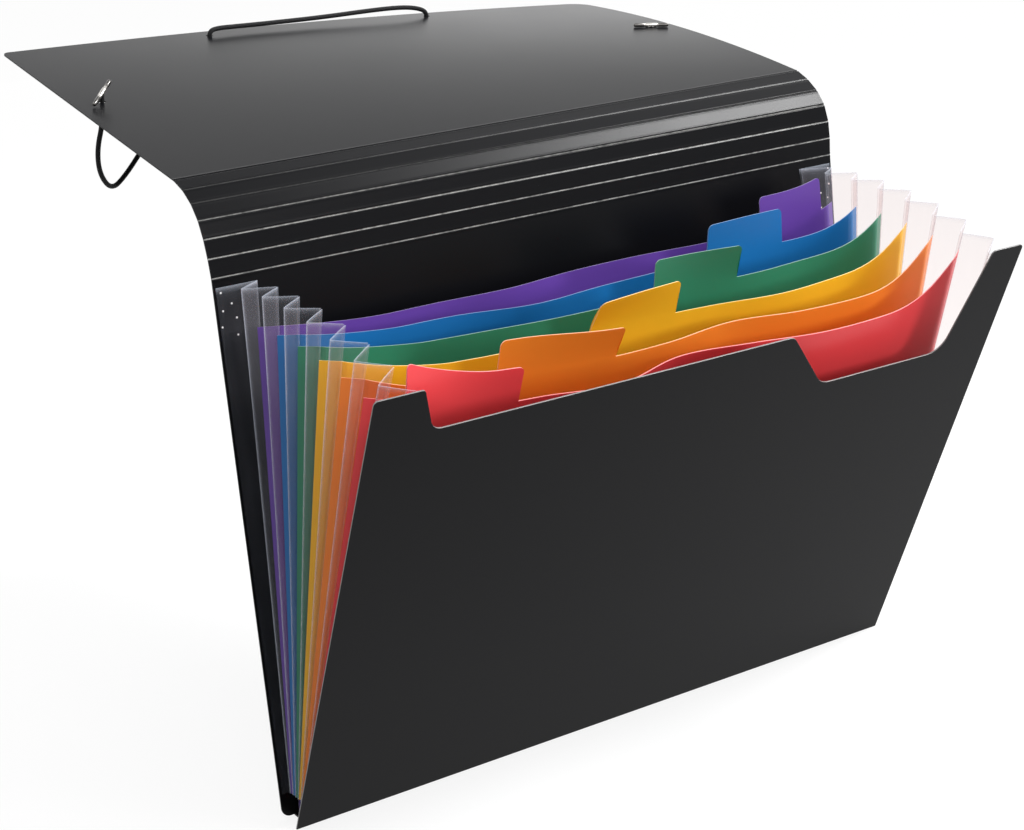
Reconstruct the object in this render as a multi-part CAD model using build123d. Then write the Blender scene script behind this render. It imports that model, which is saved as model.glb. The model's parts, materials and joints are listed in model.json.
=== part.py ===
from build123d import *
import os
from math import cos, radians, sin, tan

# Accordion file folder standing open on its base, in millimetres.
# X runs to the right along the panels, Y to the rear and Z up.
# The origin is on the floor, in the middle of the pockets' feet.

# Cover sheet
panel_width = 330.0
cover_thickness = 0.7
back_height = 235.0
back_corner_radius = 4.0
front_height = 232.0
flap_length = 180.0
flap_corner_radius = 8.0
crease_pitch = 8.0
strip_count = 6
hinge_setback = 0.2

# Fan of pockets at rest, angles in degrees
pocket_count = 7
pivot_pitch = 1.6
pivot_height = 1.6
back_lean = 4.0
fan_angle = 28.6

# Spine and flap at rest: how far the flap leans back from the back panel, in degrees,
# and how that turn is shared out over the creases
flap_bend = 77.0
crease_bend_shares = (0.026, 0.071, 0.143, 0.215, 0.195, 0.175, 0.175)

# Base strip, the fold of the cover that the folder stands on
base_strip_inset = 6.0
base_front_gap = 0.4
seat_clearance = 0.05

# Front panel: a low middle edge between two ears, with a thumb cut-out on the right
front_foot_drop = 1.0
mid_edge_height = 211.0
left_ear_top = 22.0
left_ear_foot = 29.0
right_ear_top = 18.0
right_ear_foot = 29.0
thumb_height = 180.0
thumb_foot_width = 70.0
thumb_slope = 25.0
ear_corner_radius = 2.0
notch_radius = 6.0
thumb_lip_radius = 6.0
thumb_foot_radius = 10.0

# Dividers, from the rear one to the front one
divider_names = ("purple", "blue", "green", "yellow", "orange", "red")
divider_thickness = 0.5
divider_height = 210.0
divider_height_step = 2.4
divider_end_height = 214.5
divider_end_run = 34.0
divider_foot_clearance = 0.3
tab_height = 16.0
tab_radius = 2.5
tab_margin_left = 27.5
tab_margin_right = 22.5
tab_edge_shares = (0.0, 0.197, 0.391, 0.549, 0.710, 0.868, 1.0)

# Pleated side gussets of clear film
film_thickness = 0.3
gusset_height = 231.0
gusset_foot = 10.0
valley_inset_top = 19.7
valley_inset_foot = 4.5
ridge_inset_top = 7.8
valley_clearance = 0.3
ridge_clearance = 0.6
weld_gap = 0.15
weld_edge_inset = 1.0

# Elastic closure on the flap
cord_diameter = 2.3
hole_diameter = 3.4
barb_hole_inset = 13.5
barb_hole_edge_gap = 81.0
run_hole_spread = 124.0
run_hole_edge_gap = 8.0
barb_diameter = 2.0
barb_length = 18.0
barb_end_radius = 0.6
barb_stem_diameter = 2.0
barb_stem_reach = 1.0
barb_turns = {"left": 40.0, "right": -25.0}
barb_lifts = {"left": 22.0, "right": 0.0}
bend_share = 0.45

# Routes of the elastic in the flap's own frame: across, along from the last crease, and
# out of the inner face. The loops hang below the flap and the run arches over its inner face.
loop_left_route = (
    (-151.5, 99.0, -1.0),
    (-151.5, 99.0, -9.0),
    (-154.5, 99.5, -22.0),
    (-152.5, 102.0, -35.0),
    (-144.5, 107.5, -45.5),
    (-134.5, 114.0, -42.0),
    (-119.5, 125.0, -33.0),
    (-102.0, 138.5, -24.0),
    (-83.0, 153.5, -15.5),
    (-69.5, 165.0, -9.0),
    (-62.0, 172.0, -4.5),
    (-62.0, 172.0, 0.0),
)
run_route = (
    (-62.0, 172.0, 0.0),
    (-62.0, 172.0, 2.6),
    (-57.5, 172.8, 3.5),
    (-49.0, 173.2, 3.4),
    (-33.0, 173.2, 3.4),
    (0.0, 172.8, 4.0),
    (30.0, 173.0, 5.4),
    (47.0, 173.2, 5.7),
    (56.5, 173.0, 4.8),
    (62.0, 172.0, 2.8),
    (62.0, 172.0, 0.0),
)
loop_right_route = tuple((-across, along, out) for across, along, out in loop_left_route)

# Sizes that follow from the ones above
half_width = panel_width / 2
fan_depth = pocket_count * pivot_pitch
pocket_angle = fan_angle / pocket_count
film_offset = pivot_pitch / 4
panel_setback = film_thickness + weld_gap
cover_middle = panel_setback + cover_thickness / 2
cover_back = panel_setback + cover_thickness
sides = {"left": -1, "right": 1}
halves = {"rear": 1, "front": -1}


def tilted_plane(point, rear_tilt):
    """A plane across the folder whose Y climbs along the sheet and whose Z faces its inner side."""
    tilt = radians(rear_tilt)
    return Plane(origin=point, x_dir=(1, 0, 0), z_dir=(0, -cos(tilt), sin(tilt)))


def panel_plane(index):
    """Plane of panel number index: 0 is the back panel, then the dividers, then the front."""
    foot = (0, fan_depth / 2 - index * pivot_pitch, pivot_height)
    return tilted_plane(foot, back_lean - index * pocket_angle)


def crease_planes():
    """Planes that start at each crease of the spine, the last one being the flap's."""
    point = panel_plane(0).from_local_coords((0, back_height, -cover_middle))
    tilt = back_lean
    planes = []
    for share in crease_bend_shares:
        tilt += flap_bend * share
        planes.append(tilted_plane(point, tilt))
        point = planes[-1].from_local_coords((0, crease_pitch, 0))
    return planes


def slab(plane, sketch, bottom, top):
    """A sheet of the given outline between two distances from a plane."""
    return extrude(plane.offset(bottom) * sketch, amount=top - bottom)


def outline(points, radii):
    """A flat face round the points, with the radius given for each corner."""
    return make_face(FilletPolyline(*points, radius=radii, close=True))


def valley_inset(height):
    """Distance of a gusset's inner fold from the panel's side edge."""
    return valley_inset_foot + (valley_inset_top - valley_inset_foot) * height / gusset_height


def valley_point(side, index, face, height):
    """Point of a gusset's inner fold, on the front (1) or rear (-1) face of a panel."""
    across = sides[side] * (half_width - valley_inset(height))
    return panel_plane(index).from_local_coords((across, height, face * film_offset))


def facet_corners(side, pocket, half):
    """Foot and top of a pleat's inner fold, then top and foot of its outer fold."""
    feet = {}
    tops = {}
    for name, face in halves.items():
        index = pocket - 1 if name == "rear" else pocket
        feet[name] = valley_point(side, index, face, gusset_foot)
        tops[name] = valley_point(side, index, face, gusset_height)
    middle = (tops["rear"] + tops["front"]) / 2
    ridge_top = Vector(sides[side] * (half_width - ridge_inset_top), middle.Y, middle.Z)
    foot_share = (feet["rear"] - feet["front"]).length / (tops["rear"] - tops["front"]).length
    ridge_foot = feet[half] + (ridge_top - tops[half]) * foot_share
    return feet[half], tops[half], ridge_top, ridge_foot


def back_panel():
    foot = seat_clearance + cover_back * tan(radians(back_lean)) - (pivot_height - cover_thickness)
    top = back_height - hinge_setback
    points = [(-half_width, foot), (half_width, foot), (half_width, top), (-half_width, top)]
    face = outline(points, [back_corner_radius, back_corner_radius, 0, 0])
    return slab(panel_plane(0), face, -cover_back, -panel_setback)


def base_strip():
    rear = fan_depth / 2 + cover_back
    front = base_front_gap - fan_depth / 2
    end = half_width - base_strip_inset
    points = [(-end, front), (end, front), (end, rear), (-end, rear)]
    return slab(Plane.XY, outline(points, [0] * len(points)), 0, cover_thickness)


def spine_strip(plane):
    low = hinge_setback
    high = crease_pitch - hinge_setback
    points = [(-half_width, low), (half_width, low), (half_width, high), (-half_width, high)]
    face = outline(points, [0] * len(points))
    return slab(plane, face, -cover_thickness / 2, cover_thickness / 2)


def cord_holes():
    """Places of the four holes in the flap, two under the barbs and two at the ends of the run."""
    barb_across = half_width - barb_hole_inset
    barb_along = flap_length - barb_hole_edge_gap
    run_along = flap_length - run_hole_edge_gap
    return {
        "barb_left": (-barb_across, barb_along),
        "run_left": (-run_hole_spread / 2, run_along),
        "run_right": (run_hole_spread / 2, run_along),
        "barb_right": (barb_across, barb_along),
    }


def flap_panel(plane):
    low = hinge_setback
    points = [
        (-half_width, low),
        (half_width, low),
        (half_width, flap_length),
        (-half_width, flap_length),
    ]
    face = outline(points, [0, 0, flap_corner_radius, flap_corner_radius])
    for place in cord_holes().values():
        face -= Pos(*place) * Circle(hole_diameter / 2)
    return slab(plane, face, -cover_thickness / 2, cover_thickness / 2)


def front_panel():
    thumb_foot_end = half_width - right_ear_foot
    thumb_foot_start = thumb_foot_end - thumb_foot_width
    corners = [
        (-half_width, -front_foot_drop, 0),
        (half_width, -front_foot_drop, 0),
        (half_width, front_height, ear_corner_radius),
        (half_width - right_ear_top, front_height, ear_corner_radius),
        (thumb_foot_end, thumb_height, thumb_foot_radius),
        (thumb_foot_start, thumb_height, thumb_foot_radius),
        (thumb_foot_start - thumb_slope, mid_edge_height, thumb_lip_radius),
        (left_ear_foot - half_width, mid_edge_height, notch_radius),
        (left_ear_top - half_width, front_height, ear_corner_radius),
        (-half_width, front_height, ear_corner_radius),
    ]
    face = outline([corner[:2] for corner in corners], [corner[2] for corner in corners])
    return slab(panel_plane(pocket_count), face, panel_setback, cover_back)


def divider(index):
    """Coloured sheet between two pockets, raised at both ends, with its index tab; 1 is the rear one."""
    foot = divider_foot_clearance - (pivot_height - cover_thickness)
    top = divider_height - (index - 1) * divider_height_step
    foot_reach = half_width - valley_inset(foot) - valley_clearance
    end_reach = half_width - valley_inset(divider_end_height) - valley_clearance
    shoulder = end_reach - divider_end_run
    points = [
        (-foot_reach, foot),
        (foot_reach, foot),
        (end_reach, divider_end_height),
        (shoulder, top),
        (-shoulder, top),
        (-end_reach, divider_end_height),
    ]
    face = outline(points, [0] * len(points))
    tab_span = panel_width - tab_margin_left - tab_margin_right
    tab_number = len(divider_names) - index
    edges = [tab_margin_left - half_width + tab_span * share for share in tab_edge_shares]
    tab_width = edges[tab_number + 1] - edges[tab_number]
    tab_center = (edges[tab_number + 1] + edges[tab_number]) / 2
    tab = RectangleRounded(tab_width, 2 * tab_height, tab_radius)
    face += Pos(tab_center, top) * tab
    return slab(panel_plane(index), face, -divider_thickness / 2, divider_thickness / 2)


def gusset_facet(side, pocket, half):
    """One flat half of a pleat, clear of the fold lines that it turns about."""
    valley_foot, valley_top, ridge_top, ridge_foot = facet_corners(side, pocket, half)
    outward = (ridge_top - valley_top).normalized()
    normal = outward.cross(valley_top - valley_foot)
    plane = Plane(origin=valley_foot, x_dir=outward, z_dir=normal)
    corners = [
        valley_foot + outward * valley_clearance,
        ridge_foot - outward * ridge_clearance,
        ridge_top - outward * ridge_clearance,
        valley_top + outward * valley_clearance,
    ]
    points = [plane.to_local_coords(corner) for corner in corners]
    face = outline([(point.X, point.Y) for point in points], [0] * len(points))
    return slab(plane, face, -film_thickness / 2, film_thickness / 2)


def weld_strip(side, index):
    """Margin of the film that is welded flat to the inside of the back or front panel."""
    sign = sides[side]
    outer = sign * (half_width - weld_edge_inset)
    foot = sign * (half_width - valley_inset(gusset_foot) + valley_clearance)
    top = sign * (half_width - valley_inset(gusset_height) + valley_clearance)
    points = [(outer, gusset_foot), (foot, gusset_foot), (top, gusset_height), (outer, gusset_height)]
    face = outline(points, [0] * len(points))
    if index == 0:
        return slab(panel_plane(index), face, -panel_setback, film_thickness - panel_setback)
    return slab(panel_plane(index), face, panel_setback - film_thickness, panel_setback)


def bend_radii(points):
    """Largest radius that the runs beside each corner of a route allow."""
    radii = []
    for before, corner, after in zip(points, points[1:], points[2:]):
        run_in = corner - before
        run_out = after - corner
        shorter = min(run_in.length, run_out.length)
        radii.append(bend_share * shorter / tan(radians(run_in.get_angle(run_out) / 2)))
    return radii


def cord(name, route, plane):
    """Round elastic along a route of straight runs and tangent arcs."""
    points = [plane.from_local_coords(Vector(*place)) for place in route]
    radii = bend_radii(points)
    path = FilletPolyline(*points, radius=radii)
    section = Plane(origin=points[0], z_dir=path % 0) * Circle(cord_diameter / 2)
    tube = sweep(section, path=path)
    expected = section.area * path.length
    print(name, "length", round(path.length, 1), "volume ratio", round(tube.volume / expected, 4))
    print(name, "radii", [round(radius, 1) for radius in radii])
    return tube


def barb(side, plane):
    """Metal bar across a hole of the flap, with the stem that the elastic is crimped to."""
    across, along = cord_holes()["barb_" + side]
    face_height = cover_thickness / 2
    rise = barb_length / 2 * sin(radians(barb_lifts[side]))
    axis_height = face_height + seat_clearance + barb_diameter / 2 + rise
    bar = Cylinder(barb_diameter / 2, barb_length, rotation=(0, 90, 0))
    bar = fillet(bar.edges().filter_by(GeomType.CIRCLE), barb_end_radius)
    bar = Rot(0, -barb_lifts[side], 0) * bar
    stem_length = axis_height + barb_stem_reach
    stem = Pos(0, 0, -stem_length / 2) * Cylinder(barb_stem_diameter / 2, stem_length)
    return plane * Pos(across, along, axis_height) * Rot(0, 0, barb_turns[side]) * (bar + stem)


def build_parts():
    creases = crease_planes()
    flap_plane = creases[-1]
    parts = {
        "back_panel": back_panel(),
        "base_strip": base_strip(),
        "front_panel": front_panel(),
        "flap_panel": flap_panel(flap_plane),
        "elastic_loop_left": cord("elastic_loop_left", loop_left_route, flap_plane),
        "elastic_run": cord("elastic_run", run_route, flap_plane),
        "elastic_loop_right": cord("elastic_loop_right", loop_right_route, flap_plane),
    }
    for number in range(1, strip_count + 1):
        parts[f"spine_strip_{number}"] = spine_strip(creases[number - 1])
    for index, name in enumerate(divider_names, start=1):
        parts[f"divider_{name}"] = divider(index)
    for side in sides:
        parts[f"weld_strip_{side}_back"] = weld_strip(side, 0)
        parts[f"weld_strip_{side}_front"] = weld_strip(side, pocket_count)
        parts[f"barb_{side}"] = barb(side, flap_plane)
        for pocket in range(1, pocket_count + 1):
            for half in halves:
                parts[f"gusset_{side}_{pocket}_{half}"] = gusset_facet(side, pocket, half)
    return parts


parts = build_parts()
os.makedirs("parts", exist_ok=True)
for name, solid in parts.items():
    export_step(solid, f"parts/{name}.step")
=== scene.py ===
# %% [markdown]
# # Accordion file folder
# The folder is one black sheet with creases, six coloured dividers, clear pleated gussets at both sides
# and a round elastic on its flap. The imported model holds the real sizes, the bodies and their hinges.
# This script dresses it: each visible piece is made here in metres, in the same frame, and is tied to
# the body that carries it, so that the folder still opens and closes.

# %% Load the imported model
import json
import math
from functools import lru_cache

import bmesh
import bpy
from mathutils import Matrix, Vector
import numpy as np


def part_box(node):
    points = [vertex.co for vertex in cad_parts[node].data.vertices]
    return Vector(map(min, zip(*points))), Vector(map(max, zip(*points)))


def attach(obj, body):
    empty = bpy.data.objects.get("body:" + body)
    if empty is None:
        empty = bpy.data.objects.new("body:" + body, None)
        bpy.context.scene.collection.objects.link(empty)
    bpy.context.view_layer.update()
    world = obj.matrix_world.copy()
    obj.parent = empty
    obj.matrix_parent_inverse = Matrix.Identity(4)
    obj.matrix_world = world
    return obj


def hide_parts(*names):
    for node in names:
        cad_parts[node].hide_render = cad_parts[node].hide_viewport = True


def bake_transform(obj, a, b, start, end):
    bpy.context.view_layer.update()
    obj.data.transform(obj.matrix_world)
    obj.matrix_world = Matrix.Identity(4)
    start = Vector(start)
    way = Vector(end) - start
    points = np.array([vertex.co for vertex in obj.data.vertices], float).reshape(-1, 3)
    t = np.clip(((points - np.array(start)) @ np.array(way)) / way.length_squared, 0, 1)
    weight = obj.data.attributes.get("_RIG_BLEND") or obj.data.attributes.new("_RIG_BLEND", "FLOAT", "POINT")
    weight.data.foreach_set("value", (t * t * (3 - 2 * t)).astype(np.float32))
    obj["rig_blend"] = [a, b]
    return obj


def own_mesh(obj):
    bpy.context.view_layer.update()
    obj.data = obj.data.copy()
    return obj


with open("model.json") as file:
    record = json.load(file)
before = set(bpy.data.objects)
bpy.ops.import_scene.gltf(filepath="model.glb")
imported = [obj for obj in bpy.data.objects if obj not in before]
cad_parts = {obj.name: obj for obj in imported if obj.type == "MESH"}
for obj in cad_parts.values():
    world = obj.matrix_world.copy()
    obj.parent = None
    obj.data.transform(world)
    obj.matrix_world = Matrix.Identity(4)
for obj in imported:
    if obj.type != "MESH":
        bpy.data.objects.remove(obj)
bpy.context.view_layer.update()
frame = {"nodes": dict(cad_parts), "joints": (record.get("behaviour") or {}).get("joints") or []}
hinge_at = {joint["name"]: Vector(joint["pos_m"]) for joint in frame["joints"]}
MM = 0.001

# %% [markdown]
# ## Camera
# The picture looks down on the folder from its left front corner, through a long lens. A long lens
# flattens the depth, which is why the flap at the rear is still nearly as wide as the front panel.
# The place and the angles below came from lining the corners of the panels up with the photograph.

# %% Camera
CAMERA_AT = (-536.34 * MM, -770.54 * MM, 444.27 * MM)
CAMERA_HEADING = 32.80
CAMERA_PITCH = 17.475
CAMERA_ROLL = -3.475
CAMERA_LENS = 77.69
SENSOR_WIDTH = 36.0


def add_object(name, data):
    made = bpy.data.objects.new(name, data)
    bpy.context.scene.collection.objects.link(made)
    return made


def make_camera():
    heading, pitch, roll = (math.radians(a) for a in (CAMERA_HEADING, CAMERA_PITCH, CAMERA_ROLL))
    level = Vector((math.sin(heading), math.cos(heading), 0))
    forward = level * math.cos(pitch) - Vector((0, 0, math.sin(pitch)))
    side = forward.cross(Vector((0, 0, 1))).normalized()
    right = side * math.cos(roll) + side.cross(forward) * math.sin(roll)
    data = bpy.data.cameras.new("camera")
    data.lens = CAMERA_LENS
    data.sensor_width = SENSOR_WIDTH
    data.sensor_fit = "HORIZONTAL"
    camera = add_object("camera", data)
    turn = Matrix((right, right.cross(forward), -forward)).transposed().to_4x4()
    camera.matrix_world = Matrix.Translation(CAMERA_AT) @ turn
    bpy.context.scene.camera = camera
    return camera


print("camera at", [round(c, 3) for c in make_camera().location])

# %% [markdown]
# ## Frames of the panels
# The panels stand like the leaves of an open fan: each has its foot on its own hinge and leans a little
# further forward than the one behind it. A small matrix for each leaf lets every later piece be written
# in the leaf's own terms: across the folder, up along the sheet, and out of its inner face.

# %% Frames of the panels
COLOURS = ("purple", "blue", "green", "yellow", "orange", "red")
BACK_LEAN = 4.0
FAN_ANGLE = 28.6
SIDES = {"left": -1, "right": 1}


def along_sheet(rear_tilt):
    return Vector((0, math.sin(math.radians(rear_tilt)), math.cos(math.radians(rear_tilt))))


def out_of_sheet(rear_tilt):
    return Vector((0, -math.cos(math.radians(rear_tilt)), math.sin(math.radians(rear_tilt))))


def sheet_frame(foot, rear_tilt):
    axes = Matrix((Vector((1, 0, 0)), along_sheet(rear_tilt), out_of_sheet(rear_tilt)))
    return Matrix.Translation(foot) @ axes.transposed().to_4x4()


divider_feet = [hinge_at[f"divider_{colour}_swing"] for colour in COLOURS]
panel_feet = [2 * divider_feet[0] - divider_feet[1], *divider_feet, hinge_at["pocket_close"]]
pocket_count = len(panel_feet) - 1
panels = [
    sheet_frame(foot, BACK_LEAN - index * FAN_ANGLE / pocket_count)
    for index, foot in enumerate(panel_feet)
]
half_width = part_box("back_panel")[1][0]
print("pockets", pocket_count, "half width", round(half_width, 4))

# %% [markdown]
# ## Finishes: node helpers
# Every finish is a node tree. Writing each node as one call, with its links and values in one place,
# keeps a tree readable from top to bottom. A value that is the same all over the surface is set on the
# shader's own socket, and only what varies comes from other nodes.

# %% Node helpers
def add_node(tree, kind, inputs=None, **settings):
    made = tree.nodes.new(kind)
    for name, value in settings.items():
        setattr(made, name, value)
    for socket, value in (inputs or {}).items():
        if isinstance(value, bpy.types.NodeSocket):
            tree.links.new(value, made.inputs[socket])
        else:
            made.inputs[socket].default_value = value
    return made


def maths(tree, operation, *values):
    return add_node(tree, "ShaderNodeMath", dict(enumerate(values)), operation=operation).outputs["Value"]


def mix(tree, kind, share, first, second):
    """A mix of two values of one kind: FLOAT or RGBA."""
    values = {"Factor": share, "A": first, "B": second}
    return add_node(tree, "ShaderNodeMix", values, data_type=kind).outputs["Result"]


def mix_shaders(tree, share, first, second):
    return add_node(tree, "ShaderNodeMixShader", {"Fac": share, 1: first, 2: second}).outputs["Shader"]


def spread(tree, value, low, high, from_low=0.0, from_high=1.0):
    numbers = {"Value": value, "From Min": from_low, "From Max": from_high, "To Min": low, "To Max": high}
    return add_node(tree, "ShaderNodeMapRange", numbers).outputs["Result"]


print("tree helpers:", ", ".join(helper.__name__ for helper in (add_node, maths, mix, mix_shaders, spread)))

# %% [markdown]
# ## Finishes: patterns and surfaces
# Plastic is never quite even. Noise on Object coordinates gives clouds, grain and scratches that stay
# put on a piece when it moves. The Principled shader serves every surface here, so one helper makes it,
# and another one ends a tree at the material's output.

# %% Patterns and surfaces
def new_finish(name):
    finish = bpy.data.materials.new(name)
    finish.use_nodes = True
    finish.node_tree.nodes.clear()
    return finish, finish.node_tree


def show(tree, shader):
    add_node(tree, "ShaderNodeOutputMaterial", {"Surface": shader})


def surface(tree, values):
    return add_node(tree, "ShaderNodeBsdfPrincipled", values).outputs["BSDF"]


def place(tree):
    return add_node(tree, "ShaderNodeTexCoord").outputs["Object"]


def noise(tree, vector, scale, detail=2.0):
    numbers = {"Vector": vector, "Scale": scale, "Detail": detail}
    return add_node(tree, "ShaderNodeTexNoise", numbers).outputs["Fac"]


def bump(tree, height, strength, depth):
    numbers = {"Height": height, "Strength": strength, "Distance": depth}
    return add_node(tree, "ShaderNodeBump", numbers).outputs["Normal"]


def mark(tree):
    return add_node(tree, "ShaderNodeAttribute", attribute_name="mark").outputs["Fac"]


print("pattern helpers:", ", ".join(helper.__name__ for helper in (place, noise, bump, mark)))

# %% [markdown]
# ## Finish: satin black cover
# The cover is black polypropylene, rolled with a fine grain. Its colour is nearly nothing, so the look
# lies in the gloss: a broad satin sheen that is a little uneven. Along the creases a pale grey is painted
# in, partly the plastic's whitening and partly a painted highlight. That paleness follows the creases,
# so the meshes carry it as an attribute named mark. The front panel's cut edge is a dull paler grey,
# partly the cut plastic's own tone and partly a painted highlight along the edge.

# %% Satin black cover
COVER_BLACK = (0.0032, 0.0033, 0.0040, 1)
COVER_ROUGHNESS = (0.27, 0.34)
COVER_GLOSS = 0.08
COVER_CLOUDS = (11.0, 4.0)
COVER_GRAIN = (0.10, 0.12 * MM)
GRAIN_SCALE = 1500.0
# Pale grey along the creases: partly the plastic's whitening, partly a painted highlight.
CREASE_WHITENING_HIGHLIGHT_GREY = (0.30, 0.30, 0.29, 1)
CREASE_WHITENING_HIGHLIGHT_SPREAD = (0.35, 1.0, 0.3, 0.6)
CREASE_WHITENING_HIGHLIGHT_SCALE = 320.0
# Cut edge of the front panel: the plastic's own paler tone and a painted highlight along the edge.
EDGE_TONE_AND_HIGHLIGHT_GREY = (0.15, 0.145, 0.145, 1)
EDGE_ROUGHNESS = (0.35, 0.55)
EDGE_CLOUD_SCALE = 300.0


def cover_finish():
    finish, tree = new_finish("cover black")
    at = place(tree)
    # The mark, broken up by noise, paints a pale line along each crease: whitening and painted highlight.
    whitening_highlight_breakup = spread(tree, noise(tree, at, CREASE_WHITENING_HIGHLIGHT_SCALE), *CREASE_WHITENING_HIGHLIGHT_SPREAD)
    line = maths(tree, "MULTIPLY", mark(tree), whitening_highlight_breakup)
    show(tree, surface(tree, {
        "Base Color": mix(tree, "RGBA", line, COVER_BLACK, CREASE_WHITENING_HIGHLIGHT_GREY),
        "Roughness": spread(tree, noise(tree, at, *COVER_CLOUDS), *COVER_ROUGHNESS),
        "Specular IOR Level": COVER_GLOSS,
        "Normal": bump(tree, noise(tree, at, GRAIN_SCALE), *COVER_GRAIN),
    }))
    return finish


def edge_tone_and_highlight_finish():
    finish, tree = new_finish("cover edge tone and highlight")
    cloud = noise(tree, place(tree), EDGE_CLOUD_SCALE)
    show(tree, surface(tree, {"Base Color": EDGE_TONE_AND_HIGHLIGHT_GREY, "Roughness": spread(tree, cloud, *EDGE_ROUGHNESS)}))
    return finish


cover_black = cover_finish()
cover_edge_highlight = edge_tone_and_highlight_finish()
print("finishes", cover_black.name, "and", cover_edge_highlight.name)

# %% [markdown]
# ## Finish: clear hazy film
# The gussets are clear polypropylene film, about as thick as three sheets of paper. Most light passes
# straight through with a faint warm tint, and a little is scattered as a cool haze. The haze is denser
# where the film is folded, welded or cut, which is the same mark attribute. Streaks run up the film.

# %% Clear hazy film
FILM_TINT = (0.968, 0.936, 0.930, 1)
FILM_HAZE = (0.74, 0.82, 0.95, 1)
FILM_HAZE_SHARE = (0.012, 0.032)
FOLD_HAZE_SHARE = 0.34
FILM_ROUGHNESS = (0.16, 0.30)
FILM_RELIEF = (0.15, 0.2 * MM)
STREAK_STRETCH = (260.0, 260.0, 9.0)
STREAK_NOISE = (1.0, 3.0)


def film_finish():
    finish, tree = new_finish("gusset film")
    stretched = add_node(tree, "ShaderNodeMapping", {"Vector": place(tree), "Scale": STREAK_STRETCH})
    streaks = noise(tree, stretched.outputs["Vector"], *STREAK_NOISE)
    haze = mix(tree, "FLOAT", mark(tree), spread(tree, streaks, *FILM_HAZE_SHARE), FOLD_HAZE_SHARE)
    clear = add_node(tree, "ShaderNodeBsdfTransparent", {"Color": FILM_TINT}).outputs["BSDF"]
    milky = surface(tree, {
        "Base Color": FILM_HAZE,
        "Roughness": spread(tree, streaks, *FILM_ROUGHNESS),
        "Normal": bump(tree, streaks, *FILM_RELIEF),
    })
    show(tree, mix_shaders(tree, haze, clear, milky))
    return finish


gusset_film = film_finish()
print("finish", gusset_film.name)

# %% [markdown]
# ## Finish: coloured divider sheets
# The dividers are thinner sheets of the same plastic with a strong dye. Light from behind glows through
# them, so each finish mixes a satin surface with a translucent one. A cut edge gathers light from the
# whole sheet and looks paler, so the rim of each sheet has a finish of its own.

# %% Coloured divider sheets
DYES = {
    "purple": (0.135, 0.056, 0.360, 1),
    "blue": (0.013, 0.168, 0.465, 1),
    "green": (0.027, 0.235, 0.135, 1),
    "yellow": (0.860, 0.530, 0.024, 1),
    "orange": (0.850, 0.290, 0.030, 1),
    "red": (0.840, 0.075, 0.085, 1),
}
RIM_PALENESS = 0.27
DYE_SHADE = 0.82
DYE_UNEVENNESS = (0.0, 0.35)
SHEET_CLOUDS = (24.0, 3.0)
SHEET_ROUGHNESS = (0.26, 0.36)
SHEET_GRAIN = (0.06, 0.1 * MM)
GLOW_SHARE = 0.32


def sheet_finish(name, dye):
    finish, tree = new_finish(name)
    at = place(tree)
    clouds = noise(tree, at, *SHEET_CLOUDS)
    shade = [DYE_SHADE * channel for channel in dye[:3]] + [1]
    colour = mix(tree, "RGBA", spread(tree, clouds, *DYE_UNEVENNESS), dye, shade)
    front = surface(tree, {
        "Base Color": colour,
        "Roughness": spread(tree, clouds, *SHEET_ROUGHNESS),
        "Normal": bump(tree, noise(tree, at, GRAIN_SCALE), *SHEET_GRAIN),
    })
    glow = add_node(tree, "ShaderNodeBsdfTranslucent", {"Color": colour}).outputs["BSDF"]
    show(tree, mix_shaders(tree, GLOW_SHARE, front, glow))
    return finish


def paler(dye):
    return tuple(channel + (1 - channel) * RIM_PALENESS for channel in dye[:3]) + (1,)


sheets = {colour: sheet_finish(f"sheet {colour}", dye) for colour, dye in DYES.items()}
rims = {colour: sheet_finish(f"rim {colour}", paler(dye)) for colour, dye in DYES.items()}
print("sheet finishes", list(sheets))

# %% [markdown]
# ## Finishes: braided elastic and crimped steel
# The elastic is rubber in a black braid. The braid runs round the cord in two crossing spirals, so its
# pattern reads the cord's own UV map: once round is 1 across, and a braid's pitch is 1 along. The two
# barbs are drawn steel with fine scratches, with a painted highlight at the crimp and painted shade
# darkening both ends.

# %% Braided elastic and crimped steel
BRAID_PITCH = 3.2 * MM
BRAID_LEAN = 6.0
BRAID_DARK = (0.004, 0.004, 0.004, 1)
BRAID_LIGHT = (0.010, 0.010, 0.011, 1)
BRAID_RELIEF = (0.6, 0.1 * MM)
BARB_LENGTH = 18.0 * MM
BARB_PITCHES = BARB_LENGTH / BRAID_PITCH
BARB_PAINTED_HIGHLIGHT = (0.62, 0.60, 0.57, 1)
BARB_PAINTED_SHADE = (0.13, 0.125, 0.12, 1)
BARB_HIGHLIGHT_REACH = (0.7, 1.3)
STEEL_ROUGHNESS = (0.18, 0.42)
STEEL_SCRATCHES = (2600.0, 3.0)
STEEL_RELIEF = (0.12, 0.05 * MM)


def cord_map(tree):
    return add_node(tree, "ShaderNodeUVMap", uv_map="cord").outputs["UV"]


def braid_finish():
    finish, tree = new_finish("elastic black")
    waves = []
    for lean in (BRAID_LEAN, -BRAID_LEAN):
        turned = {0: cord_map(tree), 1: (lean, 1.0, 0.0)}
        turned = add_node(tree, "ShaderNodeVectorMath", turned, operation="DOT_PRODUCT").outputs["Value"]
        waves.append(maths(tree, "SINE", maths(tree, "MULTIPLY", turned, 2 * math.pi)))
    braid = maths(tree, "MAXIMUM", *waves)
    show(tree, surface(tree, {
        "Base Color": mix(tree, "RGBA", spread(tree, braid, 0, 1, -1, 1), BRAID_DARK, BRAID_LIGHT),
        "Roughness": 0.62,
        "Sheen Weight": 0.03,
        "Specular IOR Level": 0.12,
        "Normal": bump(tree, braid, *BRAID_RELIEF),
    }))
    return finish


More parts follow.
